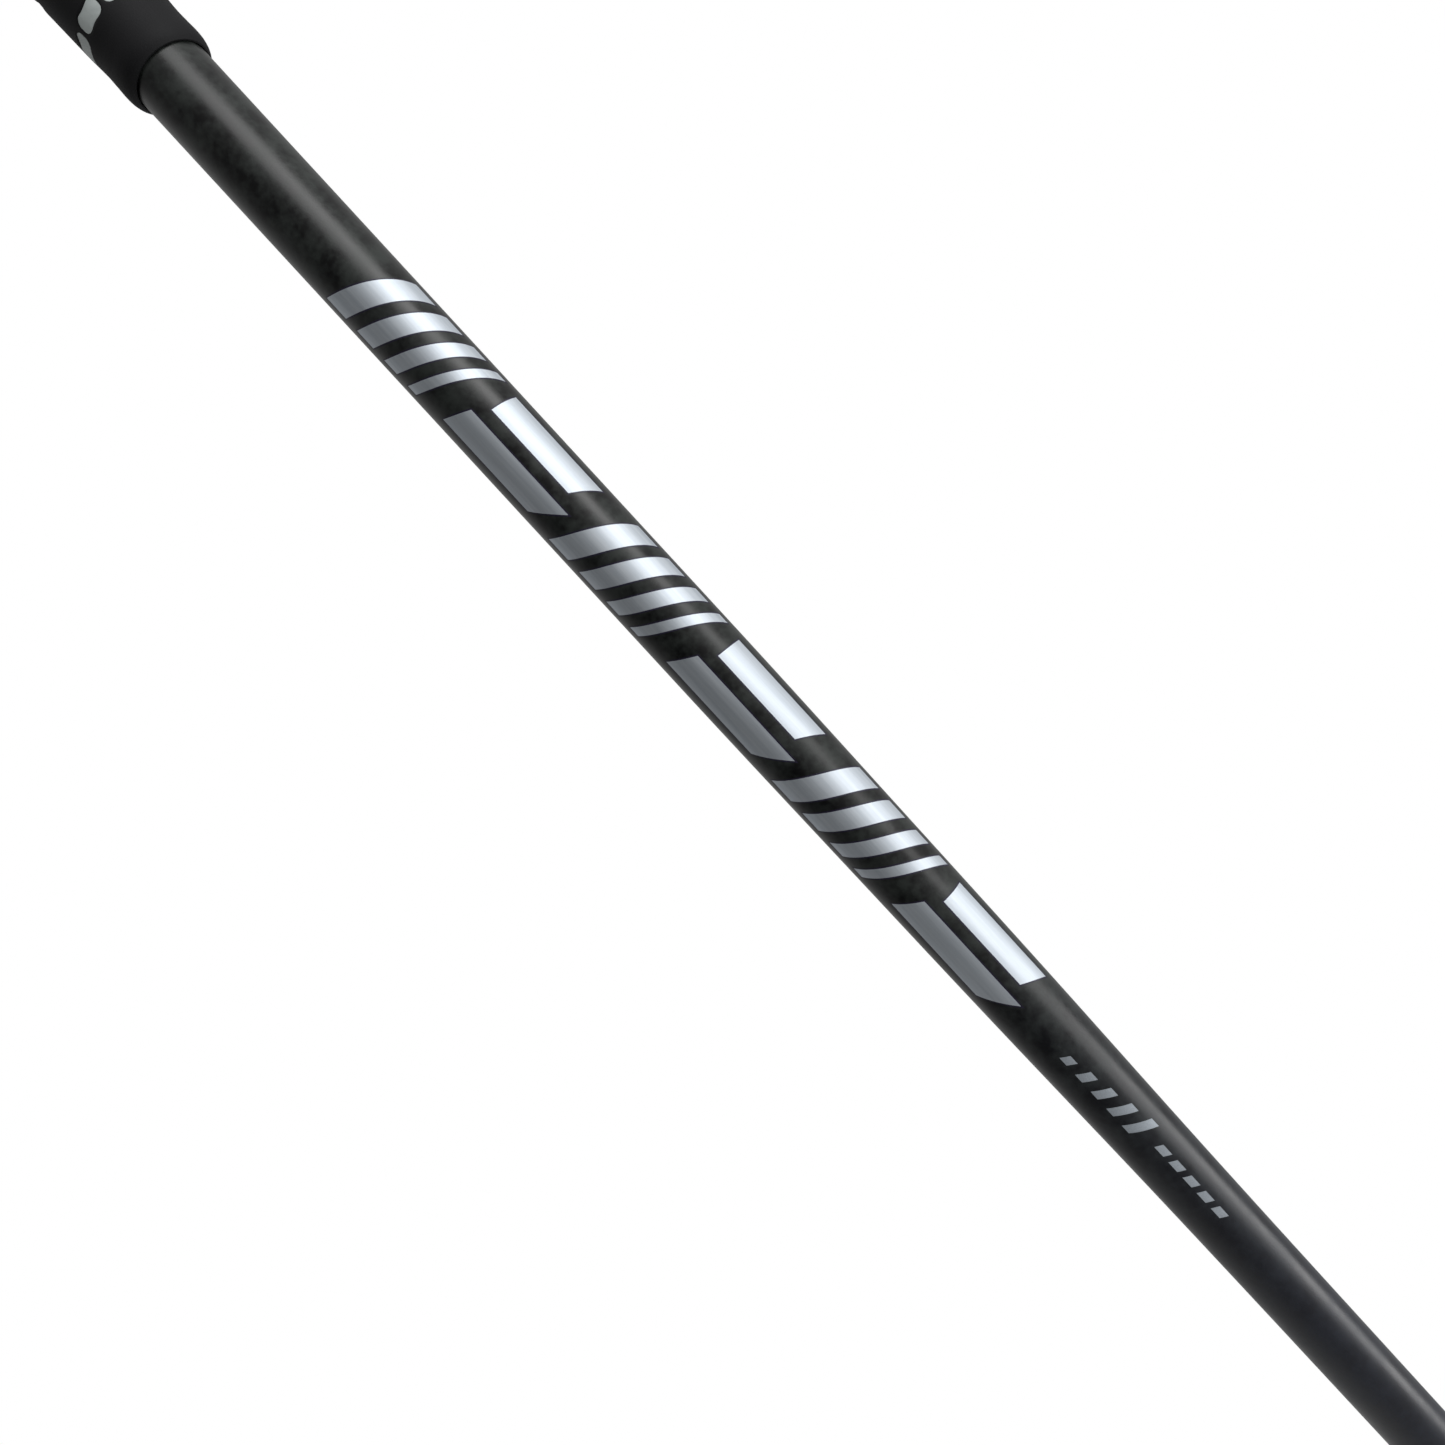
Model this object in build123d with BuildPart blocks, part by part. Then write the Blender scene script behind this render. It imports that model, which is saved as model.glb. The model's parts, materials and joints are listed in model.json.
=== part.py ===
from build123d import *
import math
import os

os.makedirs("parts", exist_ok=True)

# A right-handed golf driver standing at address on level ground, in millimetres.
# The origin is the middle of the flat pad under the sole.
# +Z is up, the face looks along -Y, the toe points to -X and the shaft rises towards +X.

# Club: the length is measured along the shaft's axis from the ground to the end of the cap
lie_angle = 58.0
club_length = 1155.7
axis_ground_x = 35.0
axis_ground_y = -16.0

# Head form: a loft of oval sections from the face to the trailing edge
head_half_width = 58.5
skirt_height = 27.0
crown_rise = 34.0
sole_drop = 27.25
rear_length = 80.0
front_length = 34.0
front_stations = (1.35, 1.0, 0.5)
front_narrowing = 8.0
front_crown_fall = 4.0
front_sole_lift = 2.5
rear_angles = (0, 20, 40, 57, 70, 80, 86)
crown_slope = 1.4
crown_fullness = 2.25
sole_fullness = 2.6
section_points = 20

# Head walls, measured in from the outer form
panel_wall = 1.0
chassis_wall = 1.4
ledge_wall = 2.2
ledge_width = 5.0
ledge_overlap = 2.0
seam_gap = 0.15
rib_wall = 5.0
rib_thickness = 1.2
rib_places = (12.0, 24.0, 36.0)

# Windows in the titanium chassis that the carbon panels close
crown_window_margin = 9.0
crown_window_rear = 13.0
crown_window_front = -14.0
crown_window_round = 9.0
hosel_clearance_radius = 20.0
keel_half_width = 13.5
sole_window_margin = 12.0
sole_window_rear = 27.0
sole_window_front = 6.0
sole_window_round = 4.0

# Badge: a thin plate let into the keel
badge_thickness = 0.5
badge_length = 22.0
badge_width = 17.0
badge_y = 27.0

# Face: bulge and roll share one radius
face_loft = 10.5
face_radius = 300.0
face_wall = 3.2
face_edge_round = 5.0
face_centre_height = 29.0
leading_edge_y = -34.0
face_plate_width = 84.0
face_plate_height = 44.0
score_depth = 0.3
score_width = 0.8
score_pitch = 4.0
score_rows = 8
score_inner = 17.0
score_outer = 36.0

# Hosel, measured along the shaft's axis up from the ground
hosel_rim = 66.0
hosel_radius = 7.0
hosel_spread = ((26.0, 11.5), (37.0, 9.6), (44.0, 8.0), (51.0, 7.0))
hosel_rear_share = 0.6
hosel_bore_radius = 5.26
hosel_bore_floor = 31.0
hosel_shelf = 27.0
port_floor = 20.5
port_radius = 5.8
screw_seat_radius = 4.9
key_count = 4
key_width = 2.4
key_height = 1.6
key_reach = 6.6
key_clearance = 0.12
seat_gap = 0.05

# Adapter sleeve, its screw and the two rings that hold the screw in the head
sleeve_barrel_radius = 5.2
sleeve_bottom = 32.0
sleeve_thread_depth = 7.5
sleeve_thread_radius = 2.5
sleeve_collar_height = 12.0
sleeve_collar_top_radius = 6.8
glue_line = 0.05
screw_shank_radius = 2.4
screw_shank_length = 12.5
screw_head_radius = 4.3
screw_head_height = 4.4
screw_play = 0.05
screw_hole_radius = 2.8
washer_height = 0.8
retainer_height = 0.6

# Shaft: a carbon tube, with its taper as (distance below the grip, radius)
shaft_tip = 40.5
tip_radius = 4.25
tip_parallel_end = 170.0
butt_radius = 7.6
shaft_taper = ((146.0, 7.6), (192.0, 7.34), (236.0, 6.96), (270.0, 6.46), (326.0, 6.06), (470.0, 5.3))
tip_wall = 1.6
butt_wall = 1.05
plug_length = 14.0

# Grip: the mouth's lip swells quickly, then the sleeve tapers to the butt
grip_length = 267.0
grip_cap_thickness = 5.0
grip_mouth_radius = 8.1
grip_lip_radius = 8.95
grip_lip_length = 6.0
grip_neck_radius = 9.15
grip_neck_length = 14.0
grip_butt_radius = 13.4
grip_cap_round = 2.0
tape_thickness = 0.2
vent_radius = 2.5

# Ferrule and its trim ring
ferrule_length = 26.0
ferrule_base_radius = 6.8
ferrule_top_radius = 4.7
trim_ring_height = 1.6

# Screw-in weights on the keel of the sole
rear_weight_radius = 9.5
rear_weight_height = 6.0
rear_weight_y = 57.0
front_weight_radius = 6.5
front_weight_height = 5.0
front_weight_y = -20.5
weight_sink = 0.5
weight_clearance = 0.1
weight_port_wall = 1.6
weight_port_floor = 3.5
weight_screw_head_radius = 3.4
weight_screw_head_height = 2.4
weight_screw_shank_radius = 1.9

shaft_direction = Vector(math.cos(math.radians(lie_angle)), 0, math.sin(math.radians(lie_angle)))
shaft_origin = Vector(axis_ground_x, axis_ground_y, 0)
shaft_axis = Axis(shaft_origin, shaft_direction)
shaft_plane = Plane(origin=shaft_origin, x_dir=(0, 1, 0), z_dir=shaft_direction)
profile_plane = Plane(
    origin=shaft_origin, x_dir=(0, 1, 0), z_dir=Vector(0, 1, 0).cross(shaft_direction)
)
grip_mouth = club_length - grip_length
shaft_butt = club_length - grip_cap_thickness

face_normal = Vector(0, -math.cos(math.radians(face_loft)), math.sin(math.radians(face_loft)))
face_centre = Vector(
    0, leading_edge_y + face_centre_height * math.tan(math.radians(face_loft)), face_centre_height
)
face_plane = Plane(origin=face_centre, x_dir=(1, 0, 0), z_dir=face_normal)
face_ball_centre = face_centre - face_normal * face_radius


def oval_points(half_width, rise, drop):
    """Points round a superellipse, fuller below the skirt line than above it."""
    points = []
    for step in range(section_points):
        angle = 2 * math.pi * step / section_points
        across = math.cos(angle)
        up = math.sin(angle)
        fullness = crown_fullness if up >= 0 else sole_fullness
        height = rise if up >= 0 else drop
        reach = (abs(across) ** fullness + abs(up) ** fullness) ** (-1 / fullness)
        points.append((half_width * reach * across, skirt_height + height * reach * up))
    return points


def head_section(y, half_width, rise, drop):
    """One upright oval section across the head."""
    with BuildSketch(Plane.XZ.offset(-y)) as section:
        with BuildLine():
            Spline(*oval_points(half_width, rise, drop), periodic=True)
        make_face()
    return section.sketch


def head_form(inset):
    """The head's outer form, drawn in by an even inset."""
    width = head_half_width - inset
    rise = crown_rise - inset
    drop = sole_drop - inset
    with BuildPart() as form:
        for along in front_stations:
            add(
                head_section(
                    -front_length * along,
                    width - front_narrowing * along**2,
                    rise - front_crown_fall * along**2,
                    drop - front_sole_lift * along**2,
                )
            )
        for angle in rear_angles:
            shrink = math.cos(math.radians(angle))
            y = (rear_length - inset) * math.sin(math.radians(angle))
            add(head_section(y, width * shrink, rise * shrink**crown_slope, drop * shrink))
        loft()
    return form.part


def head_cavity(inset):
    """The room inside the head, stopped behind the face."""
    form = head_form(inset)
    with BuildPart() as room:
        add(form)
        with Locations(face_ball_centre):
            Sphere(face_radius - face_wall, mode=Mode.INTERSECT)
    return room.part


def sole_height(y):
    """Height of the outer sole over the middle of the keel, behind the origin."""
    return skirt_height - sole_drop * math.sqrt(1 - (y / rear_length) ** 2)


def sole_slope(y):
    """Rise of the sole per millimetre towards the rear."""
    reach = math.sqrt(1 - (y / rear_length) ** 2)
    return sole_drop * y / (rear_length**2 * reach)


def prism(outline, bottom, top):
    """A sketch on the ground plane raised between two heights."""
    with BuildPart() as block:
        with BuildSketch(Plane.XY.offset(bottom)):
            add(outline)
        extrude(amount=top - bottom)
    return block.part


def crown_window(grow):
    """Outline of the crown opening, seen from above."""
    half_width = head_half_width - crown_window_margin + grow
    front = crown_window_front - grow
    with BuildSketch() as window:
        with BuildLine():
            rear = EllipticalCenterArc(
                (0, 0), half_width, rear_length - crown_window_rear + grow, start_angle=0, arc_size=180
            )
            Polyline(rear @ 1, (-half_width + 3, front), (half_width - 3, front), rear @ 0)
        make_face()
        with Locations((axis_ground_x + skirt_height, axis_ground_y)):
            Circle(hosel_clearance_radius - grow, mode=Mode.SUBTRACT)
        fillet(window.vertices().group_by(Axis.Y)[0], crown_window_round)
    return window.sketch


def sole_window(side, grow):
    """Outline of one sole opening beside the keel: side is -1 at the toe and 1 at the heel."""
    with BuildSketch() as window:
        Ellipse(head_half_width - sole_window_margin + grow, rear_length - sole_window_rear + grow)
        with Locations((0, sole_window_front - grow)):
            Rectangle(
                3 * head_half_width, 2 * rear_length, align=(Align.CENTER, Align.MAX), mode=Mode.SUBTRACT
            )
        with Locations((-side * (head_half_width - keel_half_width + grow), 0)):
            Rectangle(2 * head_half_width, 3 * rear_length, mode=Mode.SUBTRACT)
        fillet(window.vertices(), sole_window_round)
    return window.sketch


def badge_outline(grow):
    """A rounded lozenge on the keel, long from front to back."""
    with BuildSketch() as outline:
        with Locations((0, badge_y)):
            Ellipse(badge_width / 2 + grow, badge_length / 2 + grow)
    return outline.sketch


def ledge(outside, inside, outline, hole):
    """The rebate under the edge of a panel."""
    with BuildPart() as rim:
        add(outside)
        add(inside, mode=Mode.SUBTRACT)
        add(outline, mode=Mode.INTERSECT)
        add(hole, mode=Mode.SUBTRACT)
    return rim.part


def star_recess(plane, radius, depth):
    """A six-lobed socket for a torque wrench."""
    with BuildPart() as socket:
        with BuildSketch(plane):
            Circle(radius * 0.72)
            with PolarLocations(radius * 0.78, 6):
                Circle(radius * 0.22)
        extrude(amount=-depth)
    return socket.part


def finish(block, label):
    block.part.label = label
    export_step(block.part, f"parts/{label}.step")


def weight_plane(y):
    """Plane on the keel with its normal pointing out of the sole."""
    slope = sole_slope(y) if y > 0 else 0
    height = sole_height(y) if y > 0 else 0
    return Plane(origin=(0, y, height), x_dir=(1, 0, 0), z_dir=(0, slope, -1))


# ---- Head: forms shared by the chassis and its panels ----
outer_form = head_form(0)
panel_room = head_cavity(panel_wall)
chassis_room = head_cavity(chassis_wall)
badge_room = head_cavity(badge_thickness)
ledge_room = head_cavity(ledge_wall)
rib_room = head_cavity(rib_wall)

crown_floor = skirt_height + 2
crown_top = skirt_height + crown_rise + 10
crown_opening = prism(crown_window(0), crown_floor, crown_top)
crown_blank = prism(crown_window(-seam_gap), crown_floor, crown_top)
crown_ledge = ledge(
    panel_room,
    ledge_room,
    prism(crown_window(ledge_overlap), crown_floor - 1, crown_top),
    prism(crown_window(-ledge_width), crown_floor - 2, crown_top),
)

with BuildPart() as skin:
    add(outer_form)
    with Locations(face_ball_centre):
        Sphere(face_radius, mode=Mode.INTERSECT)
    fillet(skin.faces().filter_by(GeomType.SPHERE).edges(), face_edge_round)
    split(bisect_by=Plane.XY, keep=Keep.TOP)

with BuildPart() as face_plug:
    with BuildSketch(face_plane):
        Ellipse(face_plate_width / 2, face_plate_height / 2)
    extrude(amount=4 * face_wall, both=True)

# The hosel spreads towards the toe and the rear where it runs into the crown, and stays straight at the heel
with BuildPart() as hosel:
    for height, radius in hosel_spread:
        spread = radius - hosel_radius
        with BuildSketch(shaft_plane.offset(height)):
            with Locations((hosel_rear_share * spread, spread)):
                Circle(radius)
    loft()

with BuildPart() as hosel_tube:
    with BuildSketch(shaft_plane.offset(hosel_bore_floor)):
        Circle(hosel_radius)
    extrude(amount=hosel_rim - hosel_bore_floor)

rear_port_plane = weight_plane(rear_weight_y)
front_port_plane = weight_plane(front_weight_y)
rear_port_depth = rear_weight_height + weight_sink
front_port_depth = front_weight_height + weight_sink
ports = (
    (rear_port_plane, rear_weight_radius, rear_port_depth),
    (front_port_plane, front_weight_radius, front_port_depth),
)

# Cups of the weight ports and the tube of the hosel, trimmed to the head's outside
with BuildPart() as inner_bosses:
    for plane, radius, depth in ports:
        with BuildSketch(plane.offset(3)):
            Circle(radius + weight_clearance + weight_port_wall)
        extrude(amount=-(depth + weight_port_floor + 3))
    with BuildSketch(shaft_plane):
        Circle(hosel_radius)
    extrude(amount=hosel_bore_floor)
    add(skin.part, mode=Mode.INTERSECT)

# Cross ribs that stiffen the keel inside
with BuildPart() as ribs:
    with BuildSketch():
        with Locations([(0, place) for place in rib_places]):
            Rectangle(2 * keel_half_width + 2 * ledge_width, rib_thickness)
    extrude(amount=skirt_height)
    add(panel_room, mode=Mode.INTERSECT)
    add(rib_room, mode=Mode.SUBTRACT)

sole_sides = {"toe": -1, "heel": 1}
sole_top = skirt_height - 3
sole_openings = {side: prism(sole_window(sign, 0), 0, sole_top) for side, sign in sole_sides.items()}
sole_ledges = {
    side: ledge(
        panel_room,
        ledge_room,
        prism(sole_window(sign, ledge_overlap), 0, sole_top),
        prism(sole_window(sign, -ledge_width), 0, sole_top),
    )
    for side, sign in sole_sides.items()
}

with BuildPart() as badge_recess:
    add(prism(badge_outline(0), 0, skirt_height))
    add(badge_room, mode=Mode.SUBTRACT)

# ---- Head chassis: cast titanium body with hosel, ports, ledges and ribs ----
with BuildPart() as chassis:
    add(skin.part)
    add(hosel.part)
    add(chassis_room, mode=Mode.SUBTRACT)
    add(crown_opening, mode=Mode.SUBTRACT)
    for opening in sole_openings.values():
        add(opening, mode=Mode.SUBTRACT)
    add(crown_ledge)
    for rim in sole_ledges.values():
        add(rim)
    add(ribs.part)
    add(inner_bosses.part)
    add(hosel_tube.part)
    add(face_plug.part, mode=Mode.SUBTRACT)
    add(badge_recess.part, mode=Mode.SUBTRACT)
    # The sleeve's bore and the wrench port meet at the screw's shelf
    with BuildSketch(shaft_plane.offset(hosel_bore_floor)):
        Circle(hosel_bore_radius)
    extrude(amount=hosel_rim, mode=Mode.SUBTRACT)
    with BuildSketch(shaft_plane):
        Circle(screw_hole_radius)
    extrude(amount=hosel_rim, mode=Mode.SUBTRACT)
    with BuildSketch(shaft_plane):
        Circle(screw_seat_radius)
    extrude(amount=hosel_shelf, mode=Mode.SUBTRACT)
    with BuildSketch(shaft_plane.offset(-port_radius)):
        Circle(port_radius)
    extrude(amount=port_radius + port_floor, mode=Mode.SUBTRACT)
    # Slots in the rim take the sleeve's keys
    with BuildSketch(shaft_plane.offset(hosel_rim)):
        with PolarLocations((hosel_bore_radius + hosel_radius) / 2, key_count):
            Rectangle(hosel_radius, key_width + 2 * key_clearance)
    extrude(amount=-(key_height + key_clearance), mode=Mode.SUBTRACT)
    # Weight ports, each with a threaded hole through its floor
    for plane, radius, depth in ports:
        with BuildSketch(plane.offset(3)):
            Circle(radius + weight_clearance)
        extrude(amount=-(depth + 3), mode=Mode.SUBTRACT)
        with BuildSketch(plane):
            Circle(weight_screw_shank_radius + weight_clearance)
        extrude(amount=-(depth + 2 * weight_port_floor), mode=Mode.SUBTRACT)
finish(chassis, "head_chassis")

# ---- Face plate: forged titanium, scored at toe and heel ----
score_span = (score_outer - score_inner) / 2
score_middle = (score_outer + score_inner) / 2
with BuildPart() as scores:
    with BuildSketch(face_plane):
        with GridLocations(2 * score_middle, score_pitch, 2, score_rows):
            SlotOverall(2 * score_span, score_width)
    extrude(amount=4 * face_wall, both=True)
    with Locations(face_ball_centre):
        Sphere(face_radius - score_depth, mode=Mode.SUBTRACT)

with BuildPart() as face_plate:
    add(skin.part)
    add(chassis_room, mode=Mode.SUBTRACT)
    add(face_plug.part, mode=Mode.INTERSECT)
    add(scores.part, mode=Mode.SUBTRACT)
finish(face_plate, "face_plate")

# ---- Carbon panels bonded into the chassis ----
with BuildPart() as crown_panel:
    add(skin.part)
    add(panel_room, mode=Mode.SUBTRACT)
    add(crown_blank, mode=Mode.INTERSECT)
finish(crown_panel, "crown_panel")

for side, sign in sole_sides.items():
    sole_blank = prism(sole_window(sign, -seam_gap), 0, sole_top)
    with BuildPart() as sole_panel:
        add(skin.part)
        add(panel_room, mode=Mode.SUBTRACT)
        add(sole_blank, mode=Mode.INTERSECT)
    finish(sole_panel, f"{side}_sole_panel")


with BuildPart() as sole_badge:
    add(skin.part)
    add(badge_room, mode=Mode.SUBTRACT)
    add(prism(badge_outline(-seam_gap), 0, skirt_height), mode=Mode.INTERSECT)
finish(sole_badge, "sole_badge")


# ---- Weights and the screws that hold them ----
def weight_puck(name, plane, radius, height, depth):
    """A tungsten disc with a counterbore for its screw, seated on the port's floor."""
    with BuildPart() as puck:
        with BuildSketch(plane.offset(-depth)):
            Circle(radius)
        extrude(amount=height)
        chamfer(puck.edges().filter_by(GeomType.CIRCLE), 0.5)
        with Locations(plane.offset(height - depth)):
            CounterBoreHole(
                weight_screw_shank_radius + weight_clearance,
                weight_screw_head_radius + weight_clearance,
                weight_screw_head_height + 0.4,
            )
    finish(puck, name)


def weight_screw(name, plane, height, depth):
    """A low-head torque screw through the puck into the port's floor."""
    head_seat = height - depth - weight_screw_head_height - 0.4
    with BuildPart() as screw:
        with BuildSketch(plane.offset(head_seat)):
            Circle(weight_screw_head_radius)
        extrude(amount=weight_screw_head_height)
        chamfer(screw.faces().sort_by(Axis((0, 0, 0), plane.z_dir))[-1].edges(), 0.4)
        with BuildSketch(plane.offset(head_seat)):
            Circle(weight_screw_shank_radius)
        extrude(amount=-(head_seat + depth + weight_port_floor))
        add(star_recess(plane.offset(head_seat + weight_screw_head_height), 1.9, 1.6), mode=Mode.SUBTRACT)
    finish(screw, name)


weight_puck("rear_weight", rear_port_plane, rear_weight_radius, rear_weight_height, rear_port_depth)
weight_puck("front_weight", front_port_plane, front_weight_radius, front_weight_height, front_port_depth)
weight_screw("rear_weight_screw", rear_port_plane, rear_weight_height, rear_port_depth)
weight_screw("front_weight_screw", front_port_plane, front_weight_height, front_port_depth)


# ---- Hosel screw and its rings ----
def ring(name, bottom, height, outer_radius, inner_radius):
    """A plain ring on the shaft's axis."""
    with BuildPart() as band:
        with BuildSketch(shaft_plane.offset(bottom)):
            Circle(outer_radius)
            Circle(inner_radius, mode=Mode.SUBTRACT)
        extrude(amount=height)
    finish(band, name)


washer_bottom = hosel_shelf - washer_height
screw_seat = washer_bottom - screw_play
screw_bottom = screw_seat - screw_head_height
with BuildPart() as hosel_screw:
    with BuildSketch(shaft_plane.offset(screw_bottom)):
        Circle(screw_head_radius)
    extrude(amount=screw_head_height)
    chamfer(hosel_screw.faces().sort_by(shaft_axis)[0].edges(), 0.5)
    with BuildSketch(shaft_plane.offset(screw_seat)):
        Circle(screw_shank_radius)
    extrude(amount=screw_shank_length)
    chamfer(hosel_screw.faces().sort_by(shaft_axis)[-1].edges(), 0.4)
    add(star_recess(shaft_plane.offset(screw_bottom), 2.4, -2.6), mode=Mode.SUBTRACT)
finish(hosel_screw, "hosel_screw")
ring("hosel_screw_washer", washer_bottom, washer_height, screw_head_radius + 0.3, screw_hole_radius)
ring("hosel_screw_retainer", hosel_bore_floor + 0.2, retainer_height, sleeve_barrel_radius - 0.2,
     screw_shank_radius + 0.1)

# ---- Adapter sleeve: barrel, keyed collar, blind bore for the shaft and thread for the screw ----
collar_bottom = hosel_rim + seat_gap
collar_top = collar_bottom + sleeve_collar_height
with BuildPart() as sleeve:
    with BuildSketch(shaft_plane.offset(sleeve_bottom)):
        Circle(sleeve_barrel_radius)
    extrude(amount=collar_bottom - sleeve_bottom)
    chamfer(sleeve.faces().sort_by(shaft_axis)[0].edges(), 0.4)
    with BuildSketch(shaft_plane.offset(collar_bottom - key_height)):
        with PolarLocations(key_reach / 2, key_count):
            Rectangle(key_reach, key_width)
    extrude(amount=key_height)
    with BuildSketch(shaft_plane.offset(collar_bottom)):
        Circle(hosel_radius)
    with BuildSketch(shaft_plane.offset(collar_top)):
        Circle(sleeve_collar_top_radius)
    loft()
    with BuildSketch(shaft_plane.offset(shaft_tip - glue_line)):
        Circle(tip_radius + glue_line)
    extrude(amount=collar_top - shaft_tip + 1, mode=Mode.SUBTRACT)
    with BuildSketch(shaft_plane.offset(sleeve_bottom - 1)):
        Circle(sleeve_thread_radius)
    extrude(amount=sleeve_thread_depth + 1, mode=Mode.SUBTRACT)
finish(sleeve, "hosel_sleeve")

# ---- Ferrule and its trim ring cover the sleeve's top ----
ring("ferrule_trim_ring", collar_top, trim_ring_height, sleeve_collar_top_radius, tip_radius + glue_line)
ferrule_bottom = collar_top + trim_ring_height
with BuildPart() as ferrule:
    with BuildSketch(profile_plane):
        with BuildLine():
            base = Line((tip_radius + glue_line, ferrule_bottom), (ferrule_base_radius, ferrule_bottom))
            side = ThreePointArc(
                base @ 1,
                ((ferrule_base_radius + ferrule_top_radius) / 2 + 0.35, ferrule_bottom + ferrule_length / 2),
                (ferrule_top_radius, ferrule_bottom + ferrule_length),
            )
            Polyline(side @ 1, (tip_radius + glue_line, ferrule_bottom + ferrule_length), base @ 0)
        make_face()
    revolve(axis=shaft_axis)
finish(ferrule, "ferrule")

# ---- Shaft: parallel at the butt, a long belly of taper, parallel at the tip ----
with BuildPart() as shaft:
    with BuildSketch(profile_plane):
        with BuildLine():
            taper_points = [(radius, grip_mouth - below) for below, radius in shaft_taper]
            taper_points.append((tip_radius, tip_parallel_end))
            taper = Spline(*taper_points, tangents=((0, -1), (0, -1)))
            Polyline(
                taper @ 1,
                (tip_radius, shaft_tip),
                (tip_radius - tip_wall, shaft_tip),
                (tip_radius - tip_wall, tip_parallel_end),
                (butt_radius - butt_wall, grip_mouth - shaft_taper[0][0]),
                (butt_radius - butt_wall, shaft_butt),
                (butt_radius, shaft_butt),
                taper @ 0,
            )
        make_face()
    revolve(axis=shaft_axis)
finish(shaft, "shaft")

ring("shaft_tip_plug", shaft_tip + 1, plug_length, tip_radius - tip_wall, 0.6)

# ---- Grip: tape on the shaft, the rubber sleeve over it and its end cap ----
grip_bore_radius = butt_radius + tape_thickness
ring("grip_tape", grip_mouth + 3, grip_length - grip_cap_thickness - 3, grip_bore_radius, butt_radius)

with BuildPart() as grip:
    with BuildSketch(profile_plane):
        with BuildLine():
            lip = Spline(
                (grip_mouth_radius, grip_mouth),
                (grip_lip_radius, grip_mouth + grip_lip_length),
                (grip_neck_radius, grip_mouth + grip_neck_length),
                tangents=((1, 0.8), (grip_butt_radius - grip_neck_radius, grip_length - grip_neck_length)),
            )
            Polyline(
                lip @ 1,
                (grip_butt_radius, shaft_butt),
                (grip_bore_radius, shaft_butt),
                (grip_bore_radius, grip_mouth),
                lip @ 0,
            )
        make_face()
    revolve(axis=shaft_axis)
finish(grip, "grip_sleeve")

with BuildPart() as grip_cap:
    with BuildSketch(shaft_plane.offset(shaft_butt)):
        Circle(grip_butt_radius)
        Circle(vent_radius, mode=Mode.SUBTRACT)
    extrude(amount=grip_cap_thickness)
    cap_rim = grip_cap.faces().sort_by(shaft_axis)[-1].outer_wire().edges()
    fillet(cap_rim, grip_cap_round)
finish(grip_cap, "grip_cap")
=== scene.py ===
import json
import math

import bpy
from mathutils import Matrix, Vector


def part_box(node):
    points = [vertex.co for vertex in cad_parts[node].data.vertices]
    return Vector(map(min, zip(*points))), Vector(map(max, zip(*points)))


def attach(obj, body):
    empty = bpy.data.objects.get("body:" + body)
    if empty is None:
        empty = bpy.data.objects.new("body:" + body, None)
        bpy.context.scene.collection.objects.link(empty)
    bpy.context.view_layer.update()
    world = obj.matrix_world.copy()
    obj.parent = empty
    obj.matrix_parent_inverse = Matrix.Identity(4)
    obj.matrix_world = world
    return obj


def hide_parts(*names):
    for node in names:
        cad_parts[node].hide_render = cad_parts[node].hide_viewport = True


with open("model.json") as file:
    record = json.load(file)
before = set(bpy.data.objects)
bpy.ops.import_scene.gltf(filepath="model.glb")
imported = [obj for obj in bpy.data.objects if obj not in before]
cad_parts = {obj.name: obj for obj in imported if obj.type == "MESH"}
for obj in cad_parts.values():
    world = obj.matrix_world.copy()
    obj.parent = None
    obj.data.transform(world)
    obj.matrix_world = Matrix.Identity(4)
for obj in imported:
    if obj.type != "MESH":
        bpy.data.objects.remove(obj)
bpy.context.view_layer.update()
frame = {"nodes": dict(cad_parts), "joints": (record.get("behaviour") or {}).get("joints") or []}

# ---- Shaft ----
# A tapered tube rolled from carbon fibre sheet, ground smooth and sprayed. The paint is a smoky charcoal
# under satin lacquer: cloudy below the grip, clearing to an even blue black towards the tip. Everything from
# the sleeve to the butt sits on its straight line, so heights on that line are counted from the ground up.
MM = 0.001
release = next(joint for joint in frame["joints"] if joint["name"] == "head_release")
butt_way = -Vector(release["axis"]).normalized()
face_way = Vector((0, -1, 0))
top_way = face_way.cross(butt_way)


def middle(node):
    low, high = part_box(node)
    return (low + high) / 2


ring_centre = middle("ferrule_trim_ring")
ground_point = ring_centre - butt_way * (ring_centre.z / butt_way.z)
club_line = Matrix.Translation(ground_point) @ Matrix((top_way, face_way, butt_way)).transposed().to_4x4()


def outline_of(node):
    """The outside of a turned CAD node, as (height on the club's line, radius) from low to high."""
    rings = {}
    to_line = club_line.inverted()
    for vertex in frame["nodes"][node].data.vertices:
        place = to_line @ vertex.co
        outward = Vector((place.x, place.y, 0)).normalized()
        if (to_line.to_3x3() @ vertex.normal).dot(outward) > 0.2:
            rings[round(place.z, 4)] = math.hypot(place.x, place.y)
    return sorted(rings.items())


def radius_at(outline, level):
    for (low, low_radius), (high, high_radius) in zip(outline, outline[1:]):
        if level <= high:
            share = max(0, (level - low) / (high - low))
            return low_radius + (high_radius - low_radius) * share
    return outline[-1][1]


def levels_between(low, high, step):
    count = max(1, round((high - low) / step))
    return [low + (high - low) * i / count for i in range(count + 1)]


def solid_piece(name, vertices, faces, finish, place=club_line):
    mesh = bpy.data.meshes.new(name)
    mesh.from_pydata(vertices, [], faces)
    mesh.update()
    mesh.shade_smooth()
    mesh.set_sharp_from_angle(angle=math.radians(40))
    mesh.materials.append(finish)
    piece = bpy.data.objects.new(name, mesh)
    bpy.context.scene.collection.objects.link(piece)
    piece.matrix_world = place
    return piece


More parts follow.
